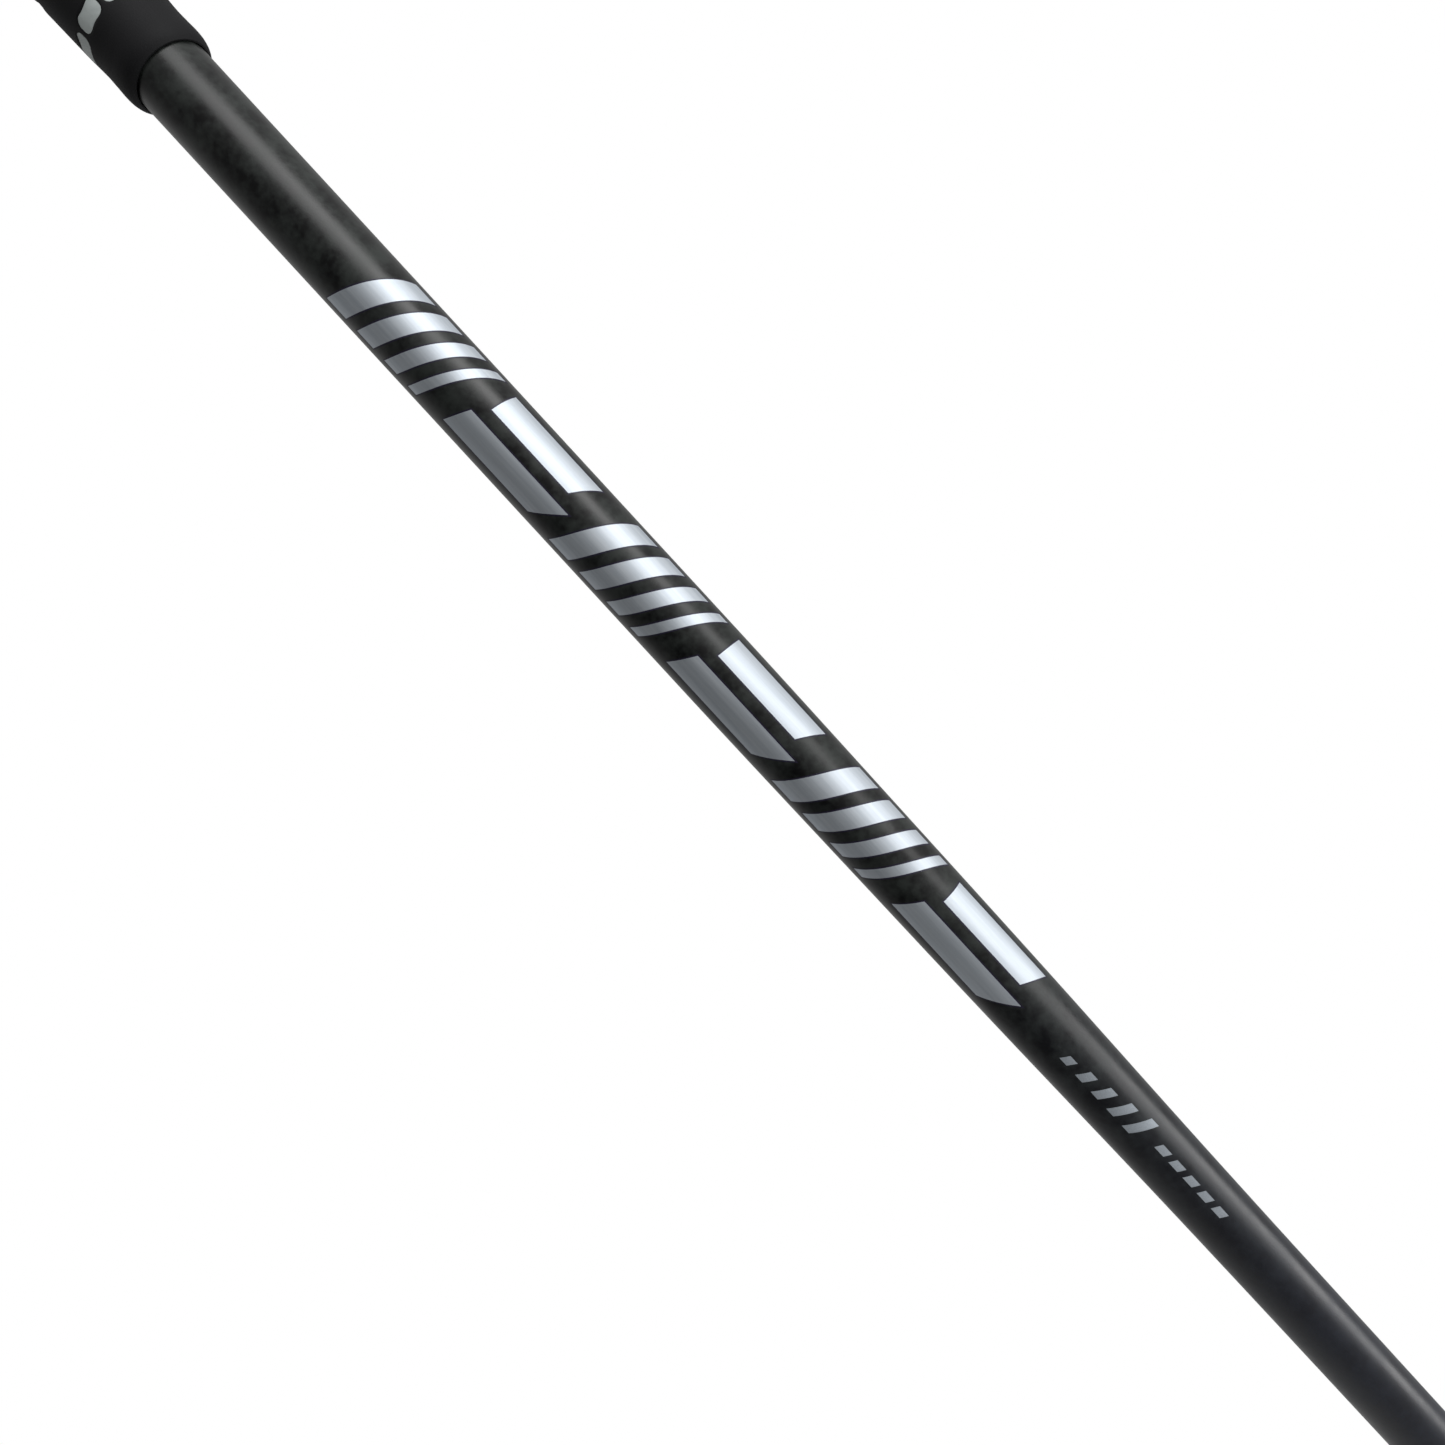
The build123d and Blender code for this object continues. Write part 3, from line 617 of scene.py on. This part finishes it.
def twill_finish(name, gloss_coat):
    """Twill as raised yarns. The yarns of one way are painted lighter than the others, a painted sheen in
    place of the light that real twill catches one way or the other.

    The fibres along each yarn are drawn 0.14 mm wide, far coarser than real, to show.
    """
    finish, tree, spots = start_finish(name)
    bias = (0, 0, math.radians(45))
    yarns = add_node(
        tree, "ShaderNodeMapping", {"Vector": spots, "Rotation": bias, "Scale": (0.5, 0.5, 0.5)}
    )
    split = add_node(tree, "ShaderNodeSeparateXYZ", {0: yarns})
    across, along = split.outputs["X"], split.outputs["Y"]
    column = add_node(tree, "ShaderNodeMath", {0: across}, operation="FLOOR")
    row = add_node(tree, "ShaderNodeMath", {0: along}, operation="FLOOR")
    step = add_node(tree, "ShaderNodeMath", {0: column, 1: row}, operation="ADD")
    phase = add_node(tree, "ShaderNodeMath", {0: step, 1: 4.0}, operation="FLOORED_MODULO")
    warp_up = add_node(tree, "ShaderNodeMath", {0: phase, 1: 1.5}, operation="LESS_THAN")
    crowns = []
    for place in (across, along):
        part = add_node(tree, "ShaderNodeMath", {0: place}, operation="FRACT")
        aside = add_node(tree, "ShaderNodeMath", {0: part, 1: 0.5}, operation="SUBTRACT")
        fall = add_node(tree, "ShaderNodeMath", {0: aside, 1: aside}, operation="MULTIPLY")
        crowns.append(add_node(tree, "ShaderNodeMath", {0: fall, 1: -4.0, 2: 1.0}, operation="MULTIPLY_ADD"))
    yarn = add_node(tree, "ShaderNodeMix", {0: warp_up, 2: crowns[1], 3: crowns[0]})
    fibres = []
    for scale in ((0.6, 14, 1), (14, 0.6, 1)):
        drawn = add_node(tree, "ShaderNodeMapping", {"Vector": yarns, "Scale": scale})
        fibres.append(add_node(tree, "ShaderNodeTexNoise", {"Vector": drawn, "Scale": 1.0, "Detail": 2.0}))
    fibre = add_node(tree, "ShaderNodeMix", {0: warp_up, 2: fibres[0], 3: fibres[1]})
    # Painted sheen: the yarns of one way get a lighter colour (0.7) than the others (0.15), as if lit and
    # shaded by the lamp. Fibre streaks are added on top, and the sum sets the colour between near black and
    # dark grey.
    painted_yarn_sheen = add_node(tree, "ShaderNodeMix", {0: warp_up, 2: 0.15, 3: 0.7})
    fibre_streaks_and_painted_sheen = add_node(tree, "ShaderNodeMath", {0: fibre, 1: 0.45, 2: painted_yarn_sheen}, operation="MULTIPLY_ADD")
    black = add_node(
        tree, "ShaderNodeMix", {0: fibre_streaks_and_painted_sheen, 6: linear("#060708"), 7: linear("#2c2f34")}, data_type="RGBA"
    )
    height = add_node(tree, "ShaderNodeMath", {0: fibre, 1: 0.2, 2: yarn}, operation="MULTIPLY_ADD")
    weave = add_node(tree, "ShaderNodeBump", {"Height": height, "Distance": 0.08 * MM, "Strength": 0.5})
    rough = add_node(tree, "ShaderNodeMix", {0: warp_up, 2: 0.48, 3: 0.34})
    end_finish(
        tree,
        Base_Color=black.outputs[2],
        Metallic=0.35,
        Roughness=rough,
        Normal=weave,
        Coat_Weight=1.0,
        Coat_Roughness=gloss_coat,
    )
    return finish


gloss_twill = twill_finish("gloss_twill_carbon", 0.12)
satin_twill = twill_finish("satin_twill_carbon", 0.28)
dress("crown_panel", gloss_twill)
dress("toe_sole_panel", satin_twill)
dress("heel_sole_panel", satin_twill)

# ---- Sight mark on the crown ----
# A pale arrowhead in the same silver ink, pad-printed on the middle of the crown's front edge. The player
# lines the ball up with it.
crown = frame["nodes"]["crown_panel"]
arrow_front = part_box("crown_panel")[0].y + 4 * MM
arrow_spread = 6 * MM
arrow_depth = 4.5 * MM
arrow_stroke = 1.5 * MM
arrow_steps = 12
arrow_lifts = (-0.02 * MM, 0.04 * MM)
vertices, faces = [], []
for side in (-1, 1):
    start = len(vertices)
    for i in range(arrow_steps + 1):
        share = i / arrow_steps
        for j in (0, 1):
            x = side * arrow_spread * share
            y = arrow_front + arrow_depth * share + j * arrow_stroke
            _, spot, upward, _ = crown.ray_cast(Vector((x, y, 0.1)), Vector((0, 0, -1)))
            for lift in arrow_lifts:
                vertices.append(spot + upward * lift)
    for i in range(arrow_steps):
        k = start + i * 4
        faces.append((k + 1, k + 5, k + 7, k + 3))
        faces.append((k, k + 2, k + 6, k + 4))
        faces.append((k, k + 4, k + 5, k + 1))
        faces.append((k + 2, k + 3, k + 7, k + 6))
sight_mark = solid_piece("crown_sight_mark", vertices, faces, ink, place=Matrix())
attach(sight_mark, "head")

# ---- Sole badge, weights, washer and retainer ----
# The badge is stamped aluminium, spun-brushed and stuck down. The weights are sintered tungsten, faced on a
# lathe, so their rings run about their own middles. The hosel screw's washer is turned aluminium, and the
# ring that keeps the screw in is moulded nylon.


def faced_finish(name, node, dark, light, low_rough, high_rough):
    """A metal face with cutting rings 0.33 mm apart about the middle of one piece, which fan its shine."""
    finish, tree, spots = start_finish(name)
    centre = middle(node) / MM
    centred = add_node(tree, "ShaderNodeVectorMath", {0: spots, 1: tuple(centre)}, operation="SUBTRACT")
    radius = add_node(tree, "ShaderNodeVectorMath", {0: centred}, operation="LENGTH").outputs["Value"]
    rings = add_node(
        tree, "ShaderNodeTexNoise", {"W": radius, "Scale": 3.0, "Detail": 2.0}, noise_dimensions="1D"
    )
    tone = add_node(tree, "ShaderNodeMix", {0: rings, 6: linear(dark), 7: linear(light)}, data_type="RGBA")
    shine = add_node(
        tree, "ShaderNodeMapRange", {"Value": rings, "To Min": low_rough, "To Max": high_rough}
    )
    cuts = add_node(tree, "ShaderNodeBump", {"Height": rings, "Distance": 0.015 * MM, "Strength": 0.5})
    end_finish(tree, Metallic=1.0, Base_Color=tone.outputs[2], Roughness=shine, Normal=cuts)
    return finish


faced = (
    ("sole_badge", "spun_aluminium", "#9a9ea3", "#c4c8cc", 0.22, 0.36),
    ("rear_weight", "faced_tungsten_rear", "#55575b", "#7d7f84", 0.25, 0.38),
    ("front_weight", "faced_tungsten_front", "#55575b", "#7d7f84", 0.25, 0.38),
)
for node, name, dark, light, low_rough, high_rough in faced:
    dress(node, faced_finish(name, node, dark, light, low_rough, high_rough))
dress("hosel_screw_washer", bright)

# Undyed nylon is milky and waxy, and light sinks a little way into it.
nylon, tree, spots = start_finish("natural_nylon")
mottle = add_node(tree, "ShaderNodeTexNoise", {"Vector": spots, "Scale": 1 / 2.0, "Detail": 3.0})
milk = add_node(
    tree, "ShaderNodeMix", {0: mottle, 6: linear("#cfcabc"), 7: linear("#e2decf")}, data_type="RGBA"
)
waxy = add_node(tree, "ShaderNodeMapRange", {"Value": mottle, "To Min": 0.4, "To Max": 0.55})
end_finish(tree, Base_Color=milk.outputs[2], Roughness=waxy, Subsurface_Weight=0.1, Subsurface_Scale=0.001)
dress("hosel_screw_retainer", nylon)

# ---- Screws ----
# Alloy steel with a six-lobed socket, cold-forged and tumbled, then given a thin nickel plate. One holds
# the sleeve in the hosel, and the other two hold the weights.

# The tumbling leaves dents about 0.5 mm wide, which break up the plate's warm shine.
nickel, tree, spots = start_finish("tumbled_nickel_plate")
pits = add_node(tree, "ShaderNodeTexNoise", {"Vector": spots, "Scale": 1 / 0.5, "Detail": 3.0})
plate = add_node(
    tree, "ShaderNodeMix", {0: pits, 6: linear("#8f8d88"), 7: linear("#bfbdb7")}, data_type="RGBA"
)
shine = add_node(tree, "ShaderNodeMapRange", {"Value": pits, "To Min": 0.2, "To Max": 0.34})
dents = add_node(tree, "ShaderNodeBump", {"Height": pits, "Distance": 0.01 * MM, "Strength": 0.5})
end_finish(tree, Metallic=1.0, Base_Color=plate.outputs[2], Roughness=shine, Normal=dents)
for screw in ("hosel_screw", "rear_weight_screw", "front_weight_screw"):
    dress(screw, nickel)

# ---- Floor ----
# A sheet of matt white studio paper under the head. It thins out to nothing well before its edge, so the
# white room has no line across it.

# Paper fibres cloud it faintly every 3 mm, and it has no shine.
paper, tree, spots = start_finish("matt_white_paper")
fibres = add_node(tree, "ShaderNodeTexNoise", {"Vector": spots, "Scale": 1 / 3.0, "Detail": 3.0})
white = add_node(
    tree, "ShaderNodeMix", {0: fibres, 6: linear("#f6f6f5"), 7: linear("#fcfcfb")}, data_type="RGBA"
)
paper_reach = (680, 540)
sheet = add_node(
    tree, "ShaderNodeMapping", {"Vector": spots, "Scale": (1 / paper_reach[0], 1 / paper_reach[1], 1)}
)
reach = add_node(tree, "ShaderNodeVectorMath", {0: sheet}, operation="LENGTH").outputs["Value"]
fading = add_node(tree, "ShaderNodeMapRange", {"Value": reach, "From Min": 1.0, "From Max": 0.45})
end_finish(tree, Base_Color=white.outputs[2], Roughness=0.95, Alpha=fading)
half_floor = 0.95
floor_corners = [(-half_floor, -half_floor, 0), (half_floor, -half_floor, 0)]
floor_corners += [(half_floor, half_floor, 0), (-half_floor, half_floor, 0)]
floor_place = Matrix.Translation((0.06, 0.02, -0.2 * MM))
floor = solid_piece("floor", floor_corners, [(0, 1, 2, 3)], paper, place=floor_place)

# ---- Light ----
# A white room, with a black flag low in front of the shaft that keeps its lower side dark. One long softbox
# lies along the shaft, a small one stands low at the toe's side, and a wide one hangs over the floor.
room = bpy.data.worlds.new("white_room")
bpy.context.scene.world = room
room.use_nodes = True
tree = room.node_tree
tree.nodes.clear()
flag_turn = math.radians(-52)
flag_way = -face_way * math.cos(flag_turn) + top_way * math.sin(flag_turn)
look = add_node(tree, "ShaderNodeTexCoord", {}).outputs["Generated"]
facing = add_node(tree, "ShaderNodeVectorMath", {0: look, 1: tuple(flag_way)}, operation="DOT_PRODUCT")
shaded = add_node(
    tree,
    "ShaderNodeMapRange",
    {"Value": facing.outputs["Value"], "From Min": 0.97, "From Max": 0.25, "To Min": 0.03, "To Max": 0.45},
)
seen = add_node(tree, "ShaderNodeLightPath", {}).outputs["Is Camera Ray"]
strength = add_node(tree, "ShaderNodeMix", {0: seen, 2: shaded, 3: 1.0})
glow = add_node(tree, "ShaderNodeBackground", {"Color": (1, 1, 1, 1), "Strength": strength})
add_node(tree, "ShaderNodeOutputWorld", {"Surface": glow})


def softbox(name, centre, target, along, length, width, power):
    """A lamp at centre that faces target, with its long side along one way."""
    light = bpy.data.lights.new(name, "AREA")
    light.shape = "RECTANGLE"
    light.size = length
    light.size_y = width
    light.energy = power
    lamp = bpy.data.objects.new(name, light)
    bpy.context.scene.collection.objects.link(lamp)
    back = (centre - target).normalized()
    side = (along - back * along.dot(back)).normalized()
    turned = Matrix((side, back.cross(side), back)).transposed().to_4x4()
    lamp.matrix_world = Matrix.Translation(centre) @ turned


foot = ground_point + butt_way * (grip_mouth - 157.7 * MM)
key_turn = math.radians(50)
key_way = -face_way * math.cos(key_turn) + top_way * math.sin(key_turn)
key_distance = 1.2
softbox("side_softbox", foot + key_way * key_distance, foot, butt_way, 2.0, 0.5, 6.3)
softbox("low_softbox", Vector((-0.9, 0.25, 0.45)), Vector((0.34, 0, 0.5)), Vector((0, 0, 1)), 0.6, 0.5, 4)
softbox("high_softbox", Vector((-0.1, 1.3, 2.0)), Vector((0.2, 0.0, 0.3)), Vector((1, 0, 0)), 1.8, 0.9, 14)

# ---- Camera ----
# It looks square at the shaft's line from close by, a little to one side of it. It is rolled so that the
# grip is at the upper left and the shaft runs down to the lower right.
view_distance = 211.8 * MM
view_aside = 6.2 * MM
roll = math.radians(47.37)
right_way = top_way * math.sin(roll) - butt_way * math.cos(roll)
above_way = butt_way * math.sin(roll) + top_way * math.cos(roll)
eye = foot - face_way * view_distance - top_way * view_aside
lens = bpy.data.cameras.new("camera")
lens.sensor_width = 36
lens.lens = 28.28
lens.clip_start = 0.01
camera = bpy.data.objects.new("camera", lens)
bpy.context.scene.collection.objects.link(camera)
view_turn = Matrix((right_way, above_way, right_way.cross(above_way))).transposed().to_4x4()
camera.matrix_world = Matrix.Translation(eye) @ view_turn
bpy.context.scene.camera = camera
bpy.context.scene.view_settings.view_transform = "Standard"
